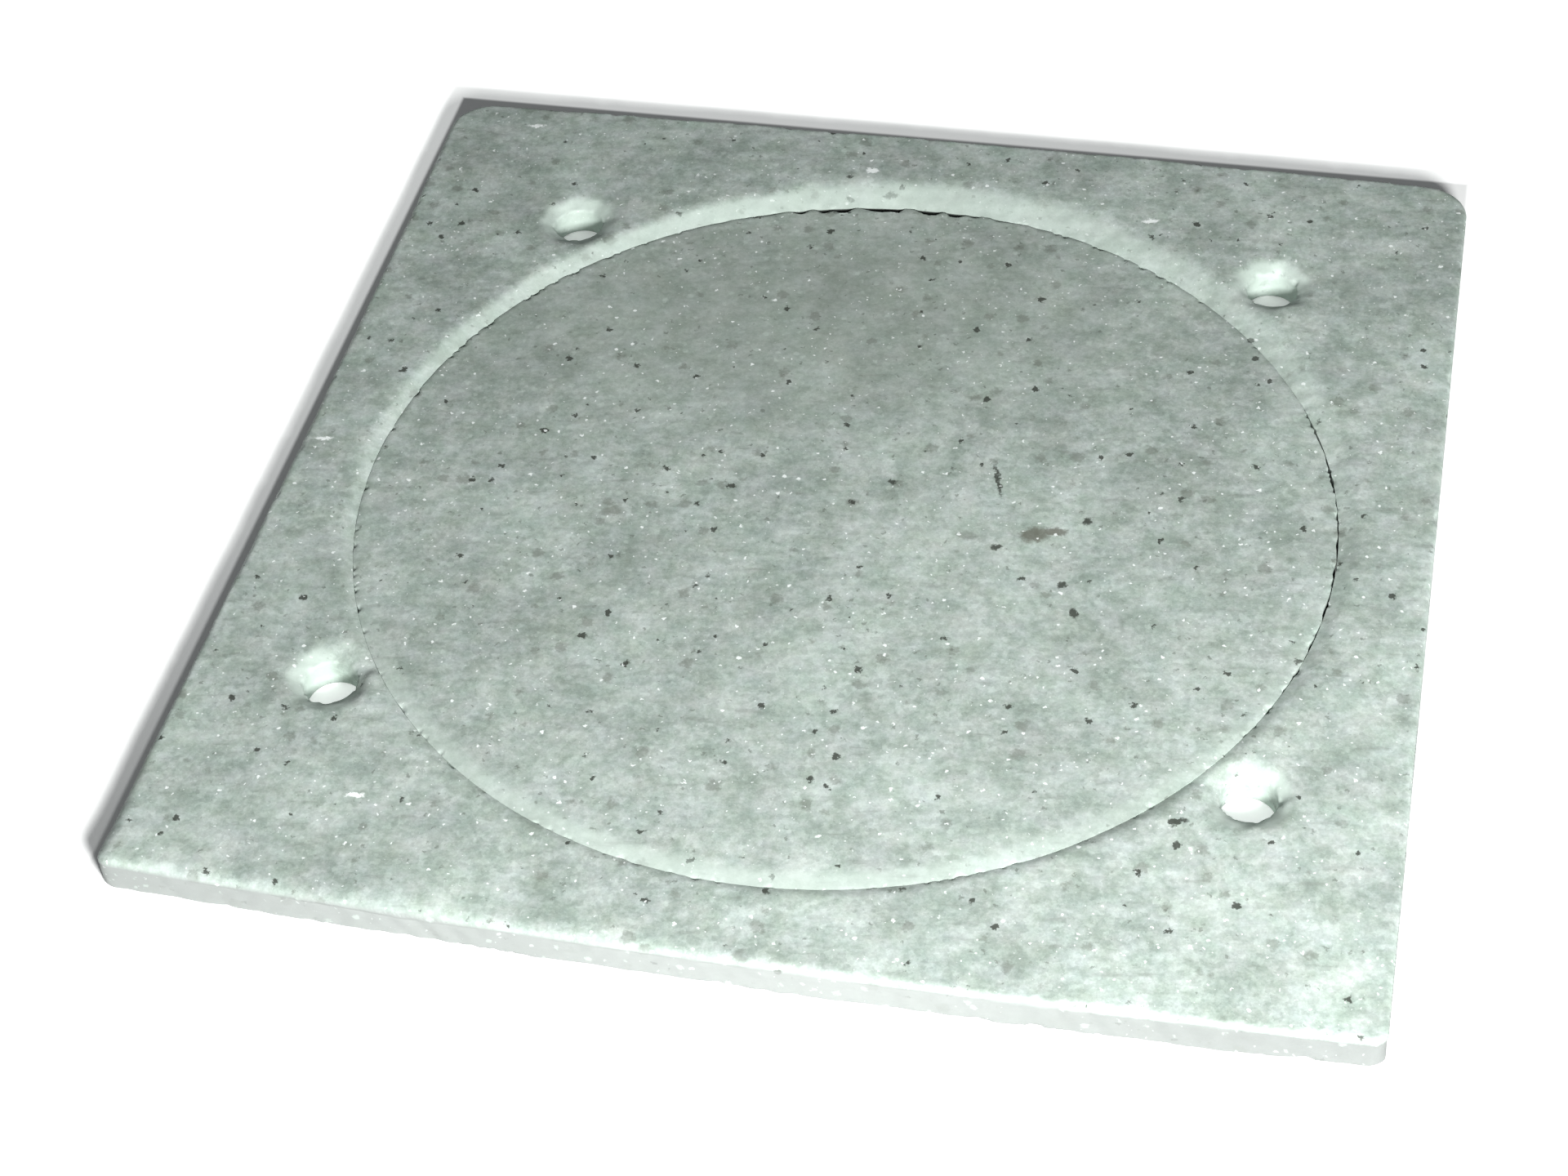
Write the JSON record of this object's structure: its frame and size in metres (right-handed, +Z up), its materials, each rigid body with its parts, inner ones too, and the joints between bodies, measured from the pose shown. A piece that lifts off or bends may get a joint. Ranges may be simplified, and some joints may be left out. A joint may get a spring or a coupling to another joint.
{
  "type": "granite work slab",
  "caption": "Square granite slab with countersunk screw holes and a loose round granite disc lying in a round opening, as a hard flat work surface.",
  "frame": {"origin": "on the surface that the slab lies on, under the middle of its bounding box", "axes": "+Z up out of the work face, -Y towards the near edge with the wider pair of holes, +X to the right"},
  "size_m": [0.3049, 0.31, 0.01],
  "materials": {
    "surround_granite": "honed, with a fine sparkle and dark flecks",
    "disc_granite": "honed, with a fine sparkle and dark flecks"
  },
  "bodies": {
    "surround": {"square_surround": "surround_granite"},
    "disc": {"round_disc": "disc_granite"}
  },
  "joints": [
    {"name": "disc_lift", "type": "slide", "parent": "surround", "child": "disc", "axis": [0, 0, 1], "range_m": [0, 0.03]}
  ]
}
